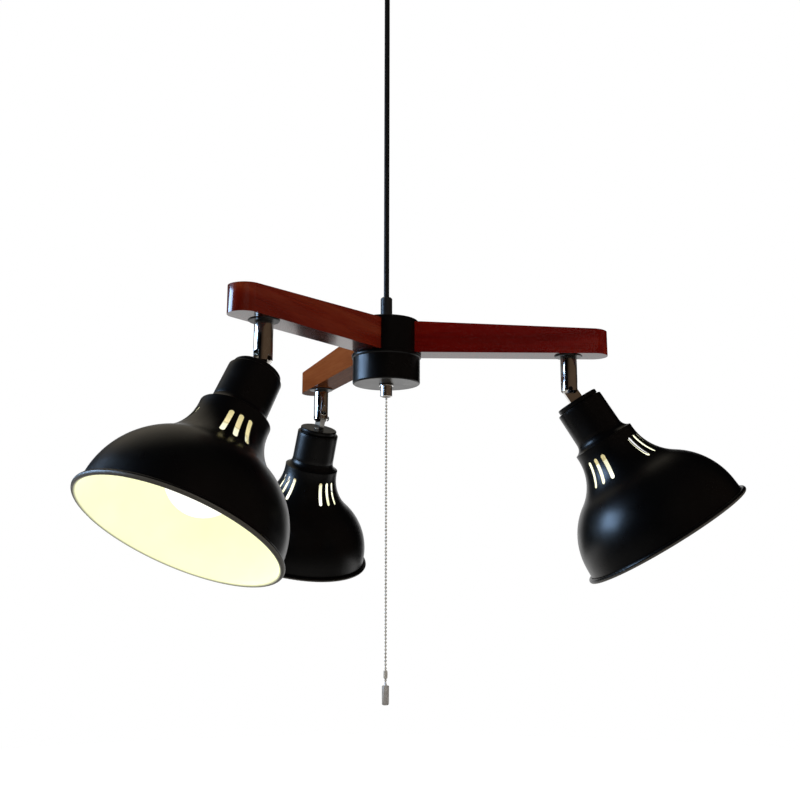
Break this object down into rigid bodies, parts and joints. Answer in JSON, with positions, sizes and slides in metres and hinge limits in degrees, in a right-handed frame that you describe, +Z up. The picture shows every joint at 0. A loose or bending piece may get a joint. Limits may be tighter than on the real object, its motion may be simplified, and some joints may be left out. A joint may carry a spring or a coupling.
{
  "type": "pendant lamp",
  "caption": "Pendant lamp on a taut cord: round hub, tapered wooden arms at even angles, swivelling stems, tilting black bell shades with vent slots, pull chain.",
  "frame": {"origin": "on the cord's axis in the ceiling plane, which the canopy's rim touches", "axes": "+Z up out of the ceiling face; the picture looks along +Y, with +X to its right"},
  "size_m": [0.5622, 0.5755, 0.7868],
  "materials": {
    "black_lacquer": "satin",
    "red_wood": "gloss",
    "brown_wood": "gloss",
    "chrome": "polished",
    "steel": "satin",
    "black_plastic": "satin",
    "black_cord": "satin",
    "white_plastic": "gloss",
    "grey_metal": "satin",
    "bulb_glass": "gloss"
  },
  "bodies": {
    "ceiling": {"mounting_bracket": "steel", "bracket_nipple": "steel", "lock_nut": "steel", "canopy": "black_lacquer", "canopy_nut": "black_lacquer", "cord_grip": "black_plastic", "grip_screw": "steel", "supply_terminal": "white_plastic", "cord_tail": "black_cord"},
    "cord_link": {"cord_bend": "black_cord"},
    "cord_run": {"cord": "black_cord"},
    "lamp": {"gland": "black_plastic", "gland_nut": "black_plastic", "hub_housing": "black_lacquer", "hub_plate": "steel", "hub_screws": "steel", "hub_cup": "black_lacquer", "hub_terminal": "white_plastic", "arm_right": "red_wood", "arm_back": "brown_wood", "arm_left": "red_wood", "arm_leads": "black_cord", "stem_plates": "black_lacquer", "switch_bracket": "steel", "pull_switch": "white_plastic", "switch_nipple": "chrome"},
    "pull": {"switch_plunger": "steel", "pull_chain": "chrome", "chain_coupling": "chrome", "pull_end": "grey_metal"},
    "stem_body_right": {"stem_right": "chrome", "stem_nut_right": "steel", "pivot_screw_right": "chrome"},
    "head_right": {"knuckle_right": "chrome", "cap_right": "black_lacquer", "socket_cover_right": "black_lacquer", "lampholder_right": "white_plastic", "shade_right": "black_lacquer", "shade_ring_right": "black_plastic", "bulb_right": "bulb_glass"},
    "stem_body_back": {"stem_back": "chrome", "stem_nut_back": "steel", "pivot_screw_back": "chrome"},
    "head_back": {"knuckle_back": "chrome", "cap_back": "black_lacquer", "socket_cover_back": "black_lacquer", "lampholder_back": "white_plastic", "shade_back": "black_lacquer", "shade_ring_back": "black_plastic", "bulb_back": "bulb_glass"},
    "stem_body_left": {"stem_left": "chrome", "stem_nut_left": "steel", "pivot_screw_left": "chrome"},
    "head_left": {"knuckle_left": "chrome", "cap_left": "black_lacquer", "socket_cover_left": "black_lacquer", "lampholder_left": "white_plastic", "shade_left": "black_lacquer", "shade_ring_left": "black_plastic", "bulb_left": "bulb_glass"}
  },
  "joints": [
    {"name": "cord_sway_y", "type": "hinge", "parent": "ceiling", "child": "cord_link", "pos_m": [0, 0, -0.05545], "axis": [0, 1, 0], "range_deg": [-12, 12]},
    {"name": "cord_sway_x", "type": "hinge", "parent": "cord_link", "child": "cord_run", "pos_m": [0, 0, -0.05945], "axis": [1, 0, 0], "range_deg": [-12, 12]},
    {"name": "cord_twist", "type": "hinge", "parent": "cord_run", "child": "lamp", "pos_m": [0, 0, -0.42], "axis": [0, 0, 1], "range_deg": [-90, 90], "stiffness_Nm_per_rad": 0.003},
    {"name": "pull_slide", "type": "slide", "parent": "lamp", "child": "pull", "axis": [0, 0, -1], "range_m": [0, 0.008], "stiffness_N_per_m": 800, "springref_m": -0.001},
    {"name": "stem_swivel_right", "type": "hinge", "parent": "lamp", "child": "stem_body_right", "pos_m": [0.17593, -0.01292, -0.4945], "axis": [0, 0, 1], "range_deg": [-120, 120]},
    {"name": "head_tilt_right", "type": "hinge", "parent": "stem_body_right", "child": "head_right", "pos_m": [0.17593, -0.01292, -0.4945], "axis": [-0.0017, -1, 0], "range_deg": [-52, 43]},
    {"name": "stem_swivel_back", "type": "hinge", "parent": "lamp", "child": "stem_body_back", "pos_m": [-0.07677, 0.15882, -0.4945], "axis": [0, 0, 1], "range_deg": [-120, 120]},
    {"name": "head_tilt_back", "type": "hinge", "parent": "stem_body_back", "child": "head_back", "pos_m": [-0.07677, 0.15882, -0.4945], "axis": [0.866, 0.5, 0], "range_deg": [-43.3, 51.7]},
    {"name": "stem_swivel_left", "type": "hinge", "parent": "lamp", "child": "stem_body_left", "pos_m": [-0.09915, -0.1459, -0.4945], "axis": [0, 0, 1], "range_deg": [-120, 120]},
    {"name": "head_tilt_left", "type": "hinge", "parent": "stem_body_left", "child": "head_left", "pos_m": [-0.09915, -0.1459, -0.4945], "axis": [-0.757, 0.6534, 0], "range_deg": [-48.2, 46.8]}
  ]
}
